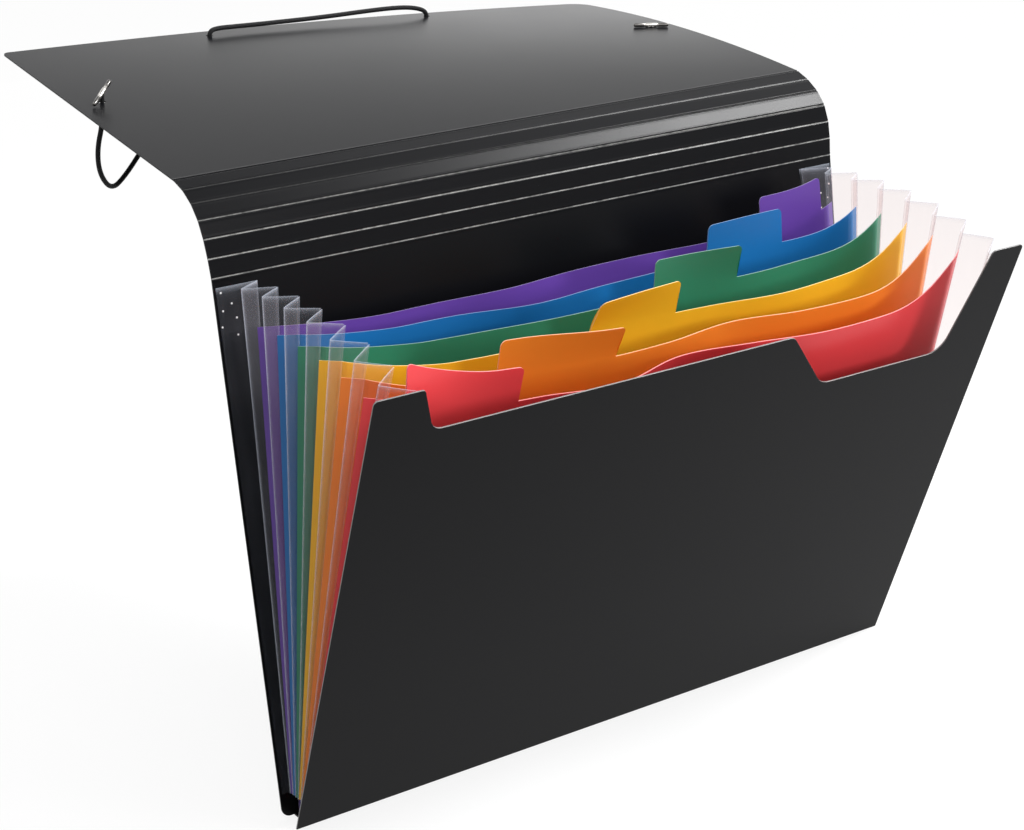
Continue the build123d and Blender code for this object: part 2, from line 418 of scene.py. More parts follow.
def steel_finish():
    finish, tree = new_finish("barb steel")
    scratches = noise(tree, place(tree), *STEEL_SCRATCHES)
    # Painted highlight at the crimp, fading to painted shade towards both ends of the bar.
    along = add_node(tree, "ShaderNodeSeparateXYZ", {"Vector": cord_map(tree)}).outputs["Y"]
    away = maths(tree, "ABSOLUTE", maths(tree, "SUBTRACT", along, BARB_PITCHES / 2))
    show(tree, surface(tree, {
        "Base Color": mix(tree, "RGBA", spread(tree, away, 0, 1, *BARB_HIGHLIGHT_REACH), BARB_PAINTED_HIGHLIGHT, BARB_PAINTED_SHADE),
        "Metallic": 1.0,
        "Roughness": spread(tree, scratches, *STEEL_ROUGHNESS),
        "Normal": bump(tree, scratches, *STEEL_RELIEF),
    }))
    return finish


elastic_black = braid_finish()
barb_steel = steel_finish()
print("finishes", elastic_black.name, "and", barb_steel.name)

# %% [markdown]
# ## From mesh to piece
# A piece is a mesh with its finishes, smooth but for its sharp edges. It rides on the body that carries
# it, so that it moves with the hinges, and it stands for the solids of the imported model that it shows.

# %% From mesh to piece
SHARP_ANGLE = 40.0


def mesh_from(name, shape):
    mesh = bpy.data.meshes.new(name)
    shape.to_mesh(mesh)
    shape.free()
    return mesh


def smooth_mesh(mesh):
    mesh.polygons.foreach_set("use_smooth", [True] * len(mesh.polygons))
    mesh.set_sharp_from_angle(angle=math.radians(SHARP_ANGLE))
    return mesh


def evaluated_mesh(thing):
    """A plain mesh of an object as its modifiers or its curve make it."""
    graph = bpy.context.evaluated_depsgraph_get()
    return bpy.data.meshes.new_from_object(thing.evaluated_get(graph))


def applied(piece):
    """The piece with its modifiers made part of its mesh."""
    mesh = evaluated_mesh(piece)
    piece.modifiers.clear()
    piece.data = smooth_mesh(mesh)
    return piece


def add_piece(name, mesh, *finishes):
    for finish in finishes:
        mesh.materials.append(finish)
    return add_object(name, mesh)


def settle(piece, body, slot, *nodes):
    """The piece rides on a body and stands for the nodes, which it hides; slot is not used."""
    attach(piece, body)
    if nodes:
        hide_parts(*nodes)
    return piece


print("edges sharper than", SHARP_ANGLE, "degrees stay sharp")

# %% [markdown]
# ## A closed sheet from two grids
# Nearly all of the folder is thin sheet. A sheet is made from two grids of points, one for each face,
# which are joined round the border. Modelling both faces by hand leaves room for grooves on one face
# only, and the mesh is closed, as a printed or measured part has to be.

# %% Closed sheets
MERGE_DISTANCE = 0.002 * MM
SLIVER_LENGTH = 0.001 * MM


def border(columns, rows):
    """Grid places round the border, in order."""
    low = [(i, 0) for i in range(columns - 1)]
    right = [(columns - 1, j) for j in range(rows - 1)]
    high = [(i, rows - 1) for i in range(columns - 1, 0, -1)]
    left = [(0, j) for j in range(rows - 1, 0, -1)]
    return low + right + high + left


def add_grid(shape, grid, marks):
    """Vertices in columns, each with its mark."""
    layer = shape.verts.layers.float["mark"]
    made = [[shape.verts.new(point) for point in column] for column in grid]
    for column, values in zip(made, marks or []):
        for vert, value in zip(column, values):
            vert[layer] = value
    return made


def closed_sheet(name, inner, outer, marks=None):
    """A closed mesh between two grids, given as columns of points; the rim takes the second finish."""
    columns, rows = len(inner), len(inner[0])
    shape = bmesh.new()
    shape.verts.layers.float.new("mark")
    top, bottom = (add_grid(shape, grid, marks) for grid in (inner, outer))
    for i in range(columns - 1):
        for j in range(rows - 1):
            shape.faces.new((top[i][j], top[i + 1][j], top[i + 1][j + 1], top[i][j + 1]))
            shape.faces.new((bottom[i][j], bottom[i][j + 1], bottom[i + 1][j + 1], bottom[i + 1][j]))
    ring = border(columns, rows)
    for (a, b), (c, d) in zip(ring, ring[1:] + ring[:1]):
        rim = shape.faces.new((top[a][b], bottom[a][b], bottom[c][d], top[c][d]))
        rim.material_index = 1
    bmesh.ops.remove_doubles(shape, verts=shape.verts, dist=MERGE_DISTANCE)
    bmesh.ops.dissolve_degenerate(shape, edges=shape.edges, dist=SLIVER_LENGTH)
    bmesh.ops.recalc_face_normals(shape, faces=shape.faces)
    return smooth_mesh(mesh_from(name, shape))


def spaced(low, high, count):
    return [low + (high - low) * i / (count - 1) for i in range(count)]


def ease(t):
    t = min(max(t, 0.0), 1.0)
    return t * t * (3 - 2 * t)


print("rim faces of a sheet of 3 by 3 points", len(border(3, 3)))

# %% [markdown]
# ## The cover's back panel, spine and flap as one sheet
# On the real folder these are one sheet, scored with seven lines so that it can roll over the pockets.
# The sheet isn't quite true: its left edge rolls over in an even bend, while its right edge stays
# upright longer and droops at the far end, and the free edge is bowed. One function gives every point of
# that sheet, from a place across (-1 to 1), a length along it and a height out of its face.

# %% The cover's surface
COVER_THICKNESS = 0.7 * MM
LEFT_TILTS = (10.9, 15.8, 24.4, 38.8, 54.5, 68.0, 78.4)
RIGHT_TILTS = (0.0, 6.0, 19.5, 39.0, 54.0, 65.0, 79.0)
FREE_EDGE_TILTS = (78.4, 88.6)
BEND_LENGTH = 3.2 * MM
SPINE_STEP = 0.25 * MM
FLAP_LENGTH = 180.0 * MM
FLAP_BOW = 2.3 * MM

crease_at = [hinge_at[f"spine_crease_{number}"] for number in range(1, 7)] + [hinge_at["flap_fold"]]
crease_pitch = (crease_at[1] - crease_at[0]).length
spine_length = crease_pitch * (len(crease_at) - 1)
seam = crease_pitch / 2


def between(left, right, u):
    """A value across the sheet, from its left edge at -1 to its right edge at 1."""
    return left + (right - left) * (u + 1) / 2


def spine_tilt(u, s):
    tilt = before = BACK_LEAN
    for number, (left, right) in enumerate(zip(LEFT_TILTS, RIGHT_TILTS)):
        after = between(left, right, u)
        tilt += (after - before) * ease((s - number * crease_pitch) / BEND_LENGTH + 0.5)
        before = after
    return tilt


@lru_cache(maxsize=None)
def spine_profile(u):
    """Points in small steps from the back panel to the flap, at one place across."""
    point = crease_at[0] - along_sheet(BACK_LEAN) * seam
    steps = round((spine_length + 2 * seam) / SPINE_STEP)
    profile = [point]
    for number in range(steps):
        tilt = spine_tilt(u, (number + 0.5) * SPINE_STEP - seam)
        point = point + along_sheet(tilt) * SPINE_STEP
        profile.append(point)
    return profile


def cover_point(u, s, out=0.0):
    """A point of the cover: s runs from the first crease, and out is measured from the middle."""
    profile = spine_profile(round(u, 5))
    tilt = spine_tilt(u, s)
    across = Vector((u * half_width, 0, 0))
    place_in = min((s + seam) / SPINE_STEP, len(profile) - 1)
    whole = min(int(place_in), len(profile) - 2)
    point = profile[whole].lerp(profile[whole + 1], min(place_in - whole, 1.0))
    past = s - (spine_length + seam)
    if past > 0:
        share = past / (FLAP_LENGTH - seam)
        turn = (between(*FREE_EDGE_TILTS, u) - tilt) * share
        point = point + along_sheet(tilt + turn / 2) * past
        tilt += turn
        out += FLAP_BOW * (1 - u * u) * share * share
    return across + point + out_of_sheet(tilt) * out


print("spine length", round(spine_length, 4))

# %% [markdown]
# ## Score lines of the spine
# A score line is a narrow groove pressed into the inner face, with a low lip at each side. Along it a
# pale grey is painted in, partly whitening and partly a painted highlight, paler on the lower lines.
# The sheet is cut into seven pieces halfway between the lines.

# %% Score lines
GROOVE_DEPTH = 0.22 * MM
GROOVE_HALF = 0.5 * MM
LIP_HEIGHT = 0.07 * MM
LIP_WIDTH = 0.3 * MM
CREASE_STOPS = (0.0, 0.12, 0.25, 0.38, 0.5, 0.65, 0.8, 1.0, 1.4, 2.0, 2.6, 3.2, 4.0)
# How pale each score line is painted: whitening and painted highlight, stronger on the lower lines, which
# catch the light.
CREASE_WHITENING_HIGHLIGHT = (0.75, 0.85, 0.8, 0.5, 0.1, 0.12, 0.0)
PALE_CORE = 1.5
PALE_FALL = 2.0
ACROSS_COLUMNS = 61
chain = ["back", *(f"spine_{number}" for number in range(1, 7)), "flap"]


def groove(off_line):
    depth = GROOVE_DEPTH * max(0.0, 1 - off_line / GROOVE_HALF)
    lip = LIP_HEIGHT * math.exp(-(((off_line - GROOVE_HALF - LIP_WIDTH) / LIP_WIDTH) ** 2))
    return lip - depth


def bend_crease(piece, number):
    """The piece bends across its line, over the length of the crease's bend."""
    line = (number - 1) * crease_pitch
    middle = cover_point(0, line)
    over = (cover_point(1, line) - cover_point(-1, line)).normalized()
    along = cover_point(0, line + seam) - cover_point(0, line - seam)
    along = (along - over * along.dot(over)).normalized()
    reach = along * BEND_LENGTH / 2
    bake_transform(piece, chain[number - 1], chain[number], start=middle - reach, end=middle + reach)


def crease_piece(number):
    name = f"crease_{number}"
    stops = [-stop * MM for stop in CREASE_STOPS[:0:-1]] + [stop * MM for stop in CREASE_STOPS]
    line = (number - 1) * crease_pitch
    columns = spaced(-1, 1, ACROSS_COLUMNS)
    half = COVER_THICKNESS / 2
    inner = [[cover_point(u, line + stop, half + groove(abs(stop))) for stop in stops] for u in columns]
    outer = [[cover_point(u, line + stop, -half) for stop in stops] for u in columns]
    pale = CREASE_WHITENING_HIGHLIGHT[number - 1]
    marks = [[pale * ease(PALE_CORE - PALE_FALL * abs(stop) / GROOVE_HALF) for stop in stops]] * len(columns)
    piece = add_piece(name, closed_sheet(name, inner, outer, marks), cover_black, cover_black)
    bend_crease(piece, number)
    if number < len(crease_at):
        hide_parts(f"spine_strip_{number}")
    return piece


crease_pieces = [crease_piece(number) for number in range(1, len(crease_at) + 1)]
print("creases", len(crease_pieces))

# %% [markdown]
# ## Flap
# The flap is the long free end of the sheet. It is a grid that follows the cover's surface, with rounded
# corners at its free edge, and four small holes for the elastic. The holes are cut with a Boolean
# modifier, the simplest way to put a clean round hole into a curved sheet.

# %% Flap
FLAP_CORNERS = {"left": 3.0 * MM, "right": 9.0 * MM}
FLAP_ROWS = 29
CORNER_STEPS = 6
HOLE_RADIUS = 1.7 * MM
HOLE_SIDES = 24
CUTTER_DEPTH = 6.0 * MM
BARB_HOLES = {"left": (-151.5 * MM, 99.0 * MM), "right": (151.5 * MM, 99.0 * MM)}
RUN_HOLES = ((-62.0 * MM, 172.0 * MM), (62.0 * MM, 172.0 * MM))


def flap_point(across, along, out=0.0):
    """A point in the flap's own terms: across, along from the last crease, out of its inner face."""
    return cover_point(across / half_width, spine_length + along, out)


def round_columns(low, high, radii, count):
    """Places across a sheet, closer together where its two corners are rounded, with their drop."""
    arc = [math.pi / 2 * i / CORNER_STEPS for i in range(CORNER_STEPS)]
    places = [(low + radii[0] * (1 - math.cos(a)), radii[0] * (1 - math.sin(a))) for a in arc]
    places += [(x, 0.0) for x in spaced(low + radii[0], high - radii[1], count)]
    places += [(high - radii[1] * (1 - math.cos(a)), radii[1] * (1 - math.sin(a))) for a in reversed(arc)]
    return places


def hole_cutter(places):
    shape = bmesh.new()
    for across, along in places:
        middle = flap_point(across, along)
        axis = (flap_point(across, along, MM) - middle).normalized()
        turn = axis.to_track_quat("Z", "Y").to_matrix().to_4x4()
        bmesh.ops.create_cone(
            shape, cap_ends=True, segments=HOLE_SIDES, radius1=HOLE_RADIUS, radius2=HOLE_RADIUS,
            depth=CUTTER_DEPTH, matrix=Matrix.Translation(middle) @ turn,
        )
    return add_piece("holes", mesh_from("holes", shape))


def make_flap():
    half = COVER_THICKNESS / 2
    places = round_columns(-half_width, half_width, list(FLAP_CORNERS.values()), ACROSS_COLUMNS)
    rows = [spaced(seam, FLAP_LENGTH - drop, FLAP_ROWS) for x, drop in places]
    grids = [
        [[flap_point(x, s, out) for s in row] for (x, drop), row in zip(places, rows)]
        for out in (half, -half)
    ]
    flap = add_piece("flap", closed_sheet("flap", *grids), cover_black, cover_black)
    cutter = hole_cutter([*BARB_HOLES.values(), *RUN_HOLES])
    cut = flap.modifiers.new("holes", "BOOLEAN")
    cut.object = cutter
    cut.operation = "DIFFERENCE"
    applied(flap)
    bpy.data.objects.remove(cutter)
    return settle(flap, "flap", "cover_black", "flap_panel")


flap = make_flap()
print("flap faces", len(flap.data.polygons))

# %% [markdown]
# ## Back panel, front panel and base
# The back panel is flat, with small round corners at its foot, and runs up to the first seam. The front
# panel's outline, with its two ears and the thumb cut-out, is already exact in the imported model, so a
# copy of it is merged and its edges get a fine bevel that catches the light. The base keeps its solid.

# %% Back panel, front panel and base
PANEL_SETBACK = 0.45 * MM
BACK_HEIGHT = 235.0 * MM
BACK_FOOT = -0.75 * MM
BACK_CORNER = 4.0 * MM
FRONT_MERGE_DISTANCE = 0.001 * MM
FRONT_FLAT_ANGLE = 1.0
EDGE_BEVEL = 0.12 * MM
EDGE_BEVEL_SEGMENTS = 2
EDGE_BEVEL_ANGLE = 60.0
FACE_ON = 0.9


def make_back():
    places = round_columns(-half_width, half_width, [BACK_CORNER, BACK_CORNER], ACROSS_COLUMNS)
    rows = [spaced(BACK_FOOT + drop, BACK_HEIGHT - seam, FLAP_ROWS) for x, drop in places]
    grids = [
        [[panels[0] @ Vector((x, height, out)) for height in row] for (x, drop), row in zip(places, rows)]
        for out in (-PANEL_SETBACK, -PANEL_SETBACK - COVER_THICKNESS)
    ]
    piece = add_piece("back", closed_sheet("back", *grids), cover_black, cover_black)
    return settle(piece, "back", "cover_black", "back_panel")


def facing_of(index):
    """Direction out of a panel's inner face."""
    return panels[index].to_3x3() @ Vector((0, 0, 1))


def make_front():
    shape = bmesh.new()
    shape.from_mesh(frame["nodes"]["front_panel"].data)
    flat = math.radians(FRONT_FLAT_ANGLE)
    bmesh.ops.remove_doubles(shape, verts=shape.verts, dist=FRONT_MERGE_DISTANCE)
    bmesh.ops.dissolve_limit(shape, angle_limit=flat, verts=shape.verts, edges=shape.edges)
    piece = add_piece("front", mesh_from("front", shape), cover_black, cover_edge_highlight)
    bevel = piece.modifiers.new("edges", "BEVEL")
    bevel.width = EDGE_BEVEL
    bevel.segments = EDGE_BEVEL_SEGMENTS
    bevel.limit_method = "ANGLE"
    bevel.angle_limit = math.radians(EDGE_BEVEL_ANGLE)
    applied(piece)
    # Rim and bevel faces take the paler edge finish: the cut plastic's tone and a painted highlight.
    for face in piece.data.polygons:
        face.use_smooth = False
        face.material_index = 0 if abs(face.normal.dot(facing_of(-1))) > FACE_ON else 1
    return settle(piece, "front", "cover_black", "front_panel")


cover_panels = [make_back(), make_front()]
base = frame["nodes"]["base_strip"]
base.data.materials.clear()
base.data.materials.append(cover_black)
print("cover panels", [piece.name for piece in cover_panels], "and", base.name)

# %% [markdown]
# ## Outline and wave of a divider
# Each divider is a sheet with one index tab, and the tabs step from right to left. The top edges climb
# towards the gussets, and the sheets narrow upwards as the gussets' inner folds do. No sheet lies flat:
# each has a wave of its own, a smooth curve through a few depths, which dies away towards the foot.

# %% Outline and wave of a divider
SHEET_TOP = 210.0 * MM
SHEET_TOP_STEP = 2.4 * MM
SHEET_END_TOP = 214.5 * MM
END_RISE_LENGTH = 50.0 * MM
END_RISE_POWERS = {"left": 1.6, "right": 4.0}
GUSSET_HEIGHT = 231.0 * MM
VALLEY_INSET_TOP = 19.7 * MM
VALLEY_INSET_FOOT = 4.5 * MM
FOLD_BAND = 2.5 * MM
TAB_MARGIN_LEFT = 27.5 * MM
TAB_MARGIN_RIGHT = 22.5 * MM
TAB_EDGE_SHARES = (0.0, 0.197, 0.391, 0.549, 0.710, 0.868, 1.0)
WAVES = {
    "purple": (0.0, 0.0, 0.0, 2.0, -3.0, -4.0, -1.0, 0.0, 0.0),
    "blue": (0.0, -3.0, -2.0, 5.5, 2.0, 0.0, -2.0, -2.0, 0.0),
    "green": (0.0, -4.0, -1.0, 2.5, 3.0, 2.0, 3.5, 1.0, 0.0),
    "yellow": (0.0, -2.0, 1.0, 1.0, 1.0, 3.0, 7.0, 4.0, 0.0),
    "orange": (0.0, -2.0, -2.0, 3.5, 3.5, -0.5, 4.5, 5.0, 0.0),
    "red": (0.0, -3.0, -1.0, 4.0, -4.5, -1.0, 4.0, 3.5, 0.0),
}


def valley_reach(height):
    """How far out the inner fold of a gusset lies, at a height along the panel."""
    inset = VALLEY_INSET_FOOT + (VALLEY_INSET_TOP - VALLEY_INSET_FOOT) * height / GUSSET_HEIGHT
    return half_width - inset


def wave(colour, share):
    """Depth of a sheet's wave at a share of its reach, as a smooth curve through its named depths."""
    depths = WAVES[colour]
    spot = (min(max(share, -1.0), 1.0) + 1) / 2 * (len(depths) - 1)
    first = min(int(spot), len(depths) - 2)
    t = spot - first
    a, b, c, d = (depths[min(max(first + step, 0), len(depths) - 1)] for step in (-1, 0, 1, 2))
    curve = b + t * ((c - a) + t * ((2 * a - 5 * b + 4 * c - d) + t * (3 * (b - c) + d - a))) / 2
    return curve * MM


def middle_top(index):
    """Height of a sheet's top edge away from its ends."""
    return SHEET_TOP - (index - 1) * SHEET_TOP_STEP


def sheet_top(index, x):
    """Height of a sheet's top edge, which climbs to the gussets at both ends."""
    middle = middle_top(index)
    inside = valley_reach(SHEET_END_TOP) - FOLD_BAND - abs(x)
    climb = min(max(1 - inside / END_RISE_LENGTH, 0.0), 1.0)
    power = END_RISE_POWERS["left" if x < 0 else "right"]
    return middle + (SHEET_END_TOP - middle) * climb**power


def tab_edges(index):
    span = 2 * half_width - TAB_MARGIN_LEFT - TAB_MARGIN_RIGHT
    number = len(COLOURS) - index
    return [TAB_MARGIN_LEFT - half_width + span * share for share in TAB_EDGE_SHARES[number:number + 2]]


print("tab widths in mm", [round((right - left) / MM) for left, right in map(tab_edges, range(1, 7))])

# %% [markdown]
# ## Dividers
# A divider is a closed sheet whose columns run from its foot to its top edge, and on to the top of the
# tab where there is one.

# %% Dividers
SHEET_THICKNESS = 0.5 * MM
SHEET_FOOT = -0.6 * MM
SHEET_COLUMNS = 64
SHEET_ROWS = 26
TAB_HEIGHT = 16.0 * MM
TAB_RADIUS = 2.5 * MM
TAB_GAP = 0.05 * MM
TAB_COLUMNS = 12
TAB_ROWS = 5
TAB_CURLS = {
    "purple": (0.0, 0.0),
    "blue": (2.0, 0.0),
    "green": (0.0, 3.0),
    "yellow": (7.0, 2.0),
    "orange": (0.0, 4.0),
    "red": (-4.0, 0.0),
}
BEND_POWER = 1.5


def divider_columns(index):
    """Shares across the sheet with the rise of the tab over each, the tab's corners rounded."""
    reach = valley_reach(SHEET_TOP) - FOLD_BAND
    left, right = tab_edges(index)
    across = spaced(-reach, reach, SHEET_COLUMNS)
    plain = [(x, 0.0) for x in across if x < left - TAB_GAP or x > right + TAB_GAP]
    plain += [(left - TAB_GAP, 0.0), (right + TAB_GAP, 0.0)]
    corners = round_columns(left, right, [TAB_RADIUS, TAB_RADIUS], TAB_COLUMNS)
    tab = [(x, TAB_HEIGHT - drop) for x, drop in corners]
    return [(x / reach, rise) for x, rise in sorted(plain + tab)]


def divider_point(index, share, height, out=0.0):
    reach = valley_reach(height) - FOLD_BAND
    swell = wave(COLOURS[index - 1], share) * max(height / SHEET_TOP, 0.0) ** BEND_POWER
    return panels[index] @ Vector((share * reach, height, swell + out))


def divider_spots(index, share, rise):
    """Heights up one column of a divider, each with how far the tab has curled there."""
    flat_reach = valley_reach(SHEET_TOP) - FOLD_BAND
    left, right = (edge / flat_reach for edge in tab_edges(index))
    curl_left, curl_right = TAB_CURLS[COLOURS[index - 1]]
    curl = curl_left + (curl_right - curl_left) * (share - left) / (right - left)
    top = sheet_top(index, share * flat_reach)
    spots = [(height, 0.0) for height in spaced(SHEET_FOOT, top, SHEET_ROWS)]
    for step in range(1, TAB_ROWS + 1):
        up = rise * step / TAB_ROWS
        spots.append((top + up, curl * MM * (up / TAB_HEIGHT) ** BEND_POWER))
    return spots


def make_divider(index):
    colour = COLOURS[index - 1]
    name = f"sheet_{colour}"
    columns = [(share, divider_spots(index, share, rise)) for share, rise in divider_columns(index)]
    grids = [
        [[divider_point(index, share, r, curl + out) for r, curl in spots] for share, spots in columns]
        for out in (SHEET_THICKNESS / 2, -SHEET_THICKNESS / 2)
    ]
    piece = add_piece(name, closed_sheet(name, *grids), sheets[colour], rims[colour])
    settle(piece, f"divider_{colour}", name, f"divider_{colour}")
    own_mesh(piece)
    return piece


dividers = [make_divider(index) for index in range(1, pocket_count)]
print("dividers", [len(piece.data.polygons) for piece in dividers])

# %% [markdown]
# ## Corners of the pleats
# Each side of each pocket is a pleat: two facets of film that meet at an outer ridge and are welded to
# the sheets at an inner valley. Two sheets that lean apart give both valleys, and the ridge runs halfway
# between them. All three lines draw together towards the foot, as a paper fan does.

# %% Corners of the pleats
FILM_OFFSET = 0.4 * MM
GUSSET_FOOT = 10.0 * MM
RIDGE_INSET_TOP = 7.8 * MM
HALVES = {"rear": 1, "front": -1}


def valley_point(side, index, face, height):
    return panels[index] @ Vector((SIDES[side] * valley_reach(height), height, face * FILM_OFFSET))


def facet_corners(side, pocket, half):
    """Foot and top of a pleat's valley, then foot and top of its ridge."""
    feet, tops = {}, {}
    for name, face in HALVES.items():
        index = pocket - 1 if name == "rear" else pocket
        feet[name] = valley_point(side, index, face, GUSSET_FOOT)
        tops[name] = valley_point(side, index, face, GUSSET_HEIGHT)
    ridge_top = (tops["rear"] + tops["front"]) / 2
    ridge_top.x = SIDES[side] * (half_width - RIDGE_INSET_TOP)
    share = (feet["rear"] - feet["front"]).length / (tops["rear"] - tops["front"]).length
    ridge_foot = feet[half] + (ridge_top - tops[half]) * share
    return feet[half], tops[half], ridge_foot, ridge_top


def facet_normal(side, pocket, half):
    """Direction out of a facet's face on the open side of its valley."""
    foot, top, ridge_foot, ridge_top = facet_corners(side, pocket, half)
    normal = (ridge_top - top).cross(top - foot).normalized()
    other = panel_feet[pocket] - panel_feet[pocket - 1]
    wanted = other if half == "front" else -other
    return normal if normal.dot(wanted) > 0 else -normal


def facet_point(corners, a, b):
    """A point of a facet: a runs from valley to ridge, and b from foot to top."""
    foot, top, ridge_foot, ridge_top = corners
    return foot.lerp(top, b).lerp(ridge_foot.lerp(ridge_top, b), a)


first_corners = facet_corners("left", 1, "rear")
print("width of a facet at its top", round((first_corners[3] - first_corners[1]).length, 4))

# %% [markdown]
# ## Film facets
# A facet rides on its own body and turns about its valley. It is a thin closed sheet with a slight
# bulge. Its mark is high along the folds and the cut top edge, where the real film looks whitest, so the
# columns and rows of points lie closer together there.

# %% Film facets
FILM_THICKNESS = 0.3 * MM
FACET_COLUMNS = 11
FACET_ROWS = 30
TOP_ROW_STEPS = (6.0 * MM, 3.0 * MM, 1.6 * MM, 0.8 * MM, 0.3 * MM, 0.0)
FACET_BULGE = 0.15 * MM
FOLD_HAZE_WIDTH = 0.25 * MM
TOP_HAZE_WIDTH = 0.9 * MM
TOP_HAZE = 0.6
VALLEY_GAP = 0.3 * MM
RIDGE_GAP = 0.12 * MM


def film_rows():
    """Heights along a panel, closer together towards the cut top edge."""
    plain = spaced(GUSSET_FOOT, GUSSET_HEIGHT - 2 * TOP_ROW_STEPS[0], FACET_ROWS)
    return plain + [GUSSET_HEIGHT - step for step in TOP_ROW_STEPS]


def grids_of(columns):
    """Grids of inner points, outer points and marks, from columns of spots that hold all three."""
    return [[[spot[part] for spot in column] for column in columns] for part in range(3)]


def facet_swell(a, b):
    return FACET_BULGE * b * math.sin(math.pi * a)


def facet_spot(corners, normal, share, height):
    """Both faces of a facet and its mark, at a share of its width and a height along the panel."""
    b = (height - GUSSET_FOOT) / (GUSSET_HEIGHT - GUSSET_FOOT)
    width = (facet_point(corners, 1, b) - facet_point(corners, 0, b)).length
    start, end = VALLEY_GAP / width, 1 - RIDGE_GAP / width
    a = start + (end - start) * ease(share)
    point, swell = facet_point(corners, a, b), facet_swell(a, b)
    inner, outer = (point + normal * (swell + face * FILM_THICKNESS / 2) for face in (1, -1))
    fold = math.exp(-min(a, 1 - a) * width / FOLD_HAZE_WIDTH)
    cut = TOP_HAZE * math.exp(-(1 - b) * GUSSET_HEIGHT / TOP_HAZE_WIDTH)
    return inner, outer, max(fold, cut)


def make_facet(side, pocket, half):
    name = f"gusset_{side}_{pocket}_{half}"
    corners = facet_corners(side, pocket, half)
    normal = facet_normal(side, pocket, half)
    columns = [
        [facet_spot(corners, normal, share, height) for height in film_rows()]
        for share in spaced(0, 1, FACET_COLUMNS)
    ]
    mesh = closed_sheet(name, *grids_of(columns))
    piece = add_piece(name.replace("gusset", "film"), mesh, gusset_film, gusset_film)
    return settle(piece, name, "gusset_film", name)


films = [
    make_facet(side, pocket, half)
    for side in SIDES
    for pocket in range(1, pocket_count + 1)
    for half in HALVES
]
print("film facets", len(films))

# %% [markdown]
# ## Coloured margins on the pleats
# A divider doesn't stop at the valley: its margin bends round and lies on the front half of the pleat
# behind it, which is why the pleats show stripes of colour through the film.

# %% Coloured margins
MARGIN_THICKNESS = 0.2 * MM
MARGIN_GAP = 0.06 * MM
MARGIN_OFFSET = FILM_THICKNESS / 2 + MARGIN_GAP + MARGIN_THICKNESS / 2
BAND_SHARES = (-1.0, -0.6, -0.25)
MARGIN_SHARES = (0.06, 0.12, 0.2, 0.3, 0.42, 0.54, 0.62)
MARGIN_BEND = 1.0 * MM


def margin_point(side, index, corners, normal, step, b, face):
    """A point of a margin: on the divider for a step below zero, and on the facet above it."""
    height = GUSSET_FOOT + (GUSSET_HEIGHT - GUSSET_FOOT) * b
    if step < 0:
        thin = ease(1 + step / FOLD_BAND)
        half = (SHEET_THICKNESS + (MARGIN_THICKNESS - SHEET_THICKNESS) * thin) / 2
        out = face * half + thin * (MARGIN_OFFSET - FILM_OFFSET)
        return panels[index] @ Vector((SIDES[side] * (valley_reach(height) + step), height, out))
    lift = facet_swell(step, b) + MARGIN_OFFSET + face * MARGIN_THICKNESS / 2
    return facet_point(corners, step, b) + normal * lift


def margin_rows(side, index, step):
    """Shares up a margin, whose top edge goes on with the climb of its sheet as far as the valley."""
    slope = END_RISE_POWERS[side] * (SHEET_END_TOP - middle_top(index)) / END_RISE_LENGTH
    top = SHEET_END_TOP + slope * (FOLD_BAND + min(step, 0.0))
    return spaced(0, (top - GUSSET_FOOT) / (GUSSET_HEIGHT - GUSSET_FOOT), FACET_ROWS)


def bend_margin(piece, side, index, corners):
    """The margin turns about the valley, from its divider to its facet."""
    foot, top = corners[:2]
    line = (top - foot).normalized()
    outward = Vector((SIDES[side], 0, 0))
    outward = (outward - line * outward.dot(line)).normalized() * MARGIN_BEND
    middle = (foot + top) / 2
    sheet, facet = f"divider_{COLOURS[index - 1]}", f"gusset_{side}_{index}_front"
    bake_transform(piece, sheet, facet, start=middle - outward, end=middle + outward)


def make_margin(side, index):
    colour = COLOURS[index - 1]
    name = f"margin_{side}_{colour}"
    corners = facet_corners(side, index, "front")
    normal = facet_normal(side, index, "front")
    steps = [(step, margin_rows(side, index, step)) for step in
             (*(share * FOLD_BAND for share in BAND_SHARES), *MARGIN_SHARES)]
    grids = [
        [[margin_point(side, index, corners, normal, step, b, face) for b in rows] for step, rows in steps]
        for face in (1, -1)
    ]
    piece = add_piece(name, closed_sheet(name, *grids), sheets[colour], rims[colour])
    bend_margin(piece, side, index, corners)
    return piece


margins = [make_margin(side, index) for side in SIDES for index in range(1, pocket_count)]
print("coloured margins", len(margins))

# %% [markdown]
# ## Film welded to the back and front panels
# The outermost margins of the film lie flat on the inside of the cover, one on each side of each panel.
# They are flat closed sheets of the same film, a little short of the cover's edge, and each rides on the
# panel that it is welded to.

# %% Film margins on the cover
WELD_EDGE_INSET = 1.0 * MM
WELD_COLUMNS = 7
WELD_LAYERS = {"back": (0, -PANEL_SETBACK), "front": (pocket_count, PANEL_SETBACK - FILM_THICKNESS)}


def weld_spot(side, body, share, height):
    """Both faces of a film margin and its mark, at a share of its width and a height."""
    index, bottom = WELD_LAYERS[body]
    outside = half_width - WELD_EDGE_INSET
    x = SIDES[side] * (outside + (valley_reach(height) - VALLEY_GAP - outside) * share)
    inner, outer = (panels[index] @ Vector((x, height, bottom + up)) for up in (FILM_THICKNESS, 0.0))
    return inner, outer, TOP_HAZE * math.exp(-(GUSSET_HEIGHT - height) / TOP_HAZE_WIDTH)


def make_weld_strip(side, body):
    name = f"weld_strip_{side}_{body}"
    columns = [
        [weld_spot(side, body, share, height) for height in film_rows()]
        for share in spaced(0, 1, WELD_COLUMNS)
    ]
    mesh = closed_sheet(name, *grids_of(columns))
    piece = add_piece(f"film_{side}_{body}", mesh, gusset_film, gusset_film)
    return settle(piece, body, "gusset_film", name)


